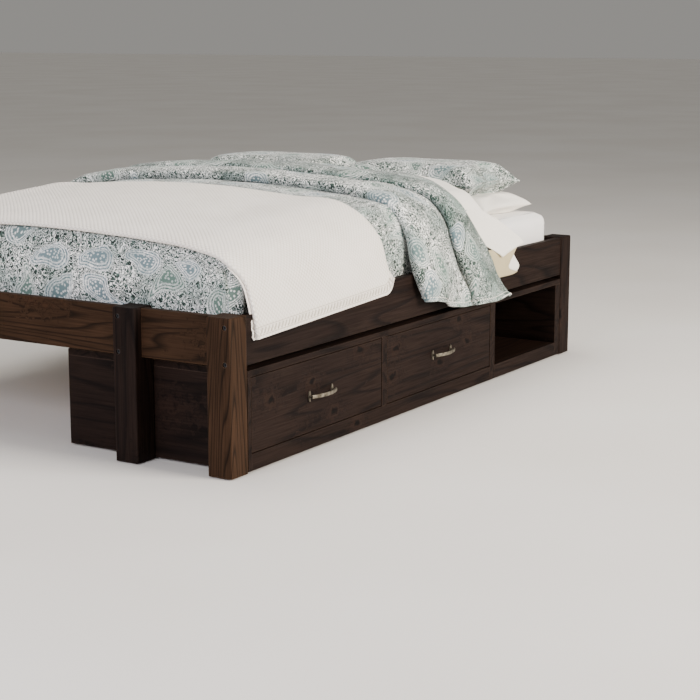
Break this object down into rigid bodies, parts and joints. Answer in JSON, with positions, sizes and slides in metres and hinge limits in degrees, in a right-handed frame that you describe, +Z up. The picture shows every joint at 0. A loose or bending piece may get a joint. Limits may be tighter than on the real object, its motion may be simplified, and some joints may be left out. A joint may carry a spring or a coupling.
{
  "type": "trundle bed",
  "caption": "Low wooden bed on square posts with a dressed mattress and a roll-out storage unit under it that holds sliding drawers and an open cubby.",
  "frame": {"origin": "on the floor under the middle of the bed, bottom centre of the whole part", "axes": "+X along the bed from the foot to the head, +Y from the front with the drawers to the back, +Z up"},
  "size_m": [2.082, 1.5716, 0.7149],
  "materials": {
    "stained_pine": "satin espresso stain over knotty pine",
    "stained_ply": "matt espresso stain",
    "bare_pine": "planed, clear sealed",
    "black_steel": "black oxide",
    "zinc_steel": "bright zinc",
    "felt": "pressed felt",
    "white_knit": "white fitted cotton sheet",
    "printed_cotton": "quilted cotton with a printed paisley",
    "white_matelasse": "woven matelasse",
    "cream_cotton": "plain woven cotton",
    "black_nylon": "moulded",
    "pewter": "cast, antique pewter"
  },
  "bodies": {
    "bed": {"back_cleat": "bare_pine", "back_side_rail": "stained_pine", "barrel_nuts": "zinc_steel", "beam_brackets": "black_steel", "bed_bolts": "black_steel", "bed_slats": "bare_pine", "block_post_left": "stained_pine", "block_post_right": "stained_pine", "comforter": "printed_cotton", "coverlet": "white_matelasse", "flat_sheet": "cream_cotton", "front_cleat": "bare_pine", "front_side_rail": "stained_pine", "left_end_rail_back": "stained_pine", "left_end_rail_front": "stained_pine", "mattress": "white_knit", "middle_beam": "bare_pine", "pillow_back": "printed_cotton", "pillow_front": "printed_cotton", "post_back_left": "stained_pine", "post_back_right": "stained_pine", "post_front_left": "stained_pine", "post_front_right": "stained_pine", "post_glides": "felt", "right_end_rail_back": "stained_pine", "right_end_rail_front": "stained_pine"},
    "storage_unit": {"cabinet_slides": "zinc_steel", "caster_axles": "zinc_steel", "caster_forks": "black_steel", "cubby_bottom_rail": "stained_pine", "cubby_side_panel": "stained_pine", "drawer_bottom_rail": "stained_pine", "drawer_side_panel": "stained_pine", "unit_back_board": "stained_ply", "unit_bottoms": "stained_ply", "unit_centre_divider": "stained_pine", "unit_left_panel": "stained_pine", "unit_right_panel": "stained_pine", "unit_top": "stained_pine"},
    "left_drawer": {"left_drawer_back": "bare_pine", "left_drawer_bottom": "bare_pine", "left_drawer_front": "stained_pine", "left_drawer_left_side": "bare_pine", "left_drawer_pull": "pewter", "left_drawer_pull_screws": "zinc_steel", "left_drawer_right_side": "bare_pine", "left_drawer_slides": "zinc_steel"},
    "right_drawer": {"right_drawer_back": "bare_pine", "right_drawer_bottom": "bare_pine", "right_drawer_front": "stained_pine", "right_drawer_left_side": "bare_pine", "right_drawer_pull": "pewter", "right_drawer_pull_screws": "zinc_steel", "right_drawer_right_side": "bare_pine", "right_drawer_slides": "zinc_steel"},
    "back_left_wheel": {"wheel_back_left": "black_nylon"},
    "back_right_wheel": {"wheel_back_right": "black_nylon"},
    "front_left_wheel": {"wheel_front_left": "black_nylon"},
    "front_right_wheel": {"wheel_front_right": "black_nylon"}
  },
  "joints": [
    {"name": "unit_roll", "type": "slide", "parent": "bed", "child": "storage_unit", "axis": [0, -1, 0], "range_m": [0, 0.6]},
    {"name": "left_drawer_slide", "type": "slide", "parent": "storage_unit", "child": "left_drawer", "axis": [0, -1, 0], "range_m": [0, 0.4]},
    {"name": "right_drawer_slide", "type": "slide", "parent": "storage_unit", "child": "right_drawer", "axis": [0, -1, 0], "range_m": [0, 0.4]},
    {"name": "front_left_wheel_spin", "type": "hinge", "parent": "storage_unit", "child": "front_left_wheel", "pos_m": [-0.832, -0.658, 0.0165], "axis": [1, 0, 0], "continuous": true},
    {"name": "front_right_wheel_spin", "type": "hinge", "parent": "storage_unit", "child": "front_right_wheel", "pos_m": [0.832, -0.658, 0.0165], "axis": [1, 0, 0], "continuous": true},
    {"name": "back_left_wheel_spin", "type": "hinge", "parent": "storage_unit", "child": "back_left_wheel", "pos_m": [-0.832, -0.198, 0.0165], "axis": [1, 0, 0], "continuous": true},
    {"name": "back_right_wheel_spin", "type": "hinge", "parent": "storage_unit", "child": "back_right_wheel", "pos_m": [0.832, -0.198, 0.0165], "axis": [1, 0, 0], "continuous": true}
  ],
  "couplings": [
    {"joint": "front_left_wheel_spin", "follows": "unit_roll", "rad_per_m": 61.728},
    {"joint": "front_right_wheel_spin", "follows": "unit_roll", "rad_per_m": 61.728},
    {"joint": "back_left_wheel_spin", "follows": "unit_roll", "rad_per_m": 61.728},
    {"joint": "back_right_wheel_spin", "follows": "unit_roll", "rad_per_m": 61.728}
  ]
}
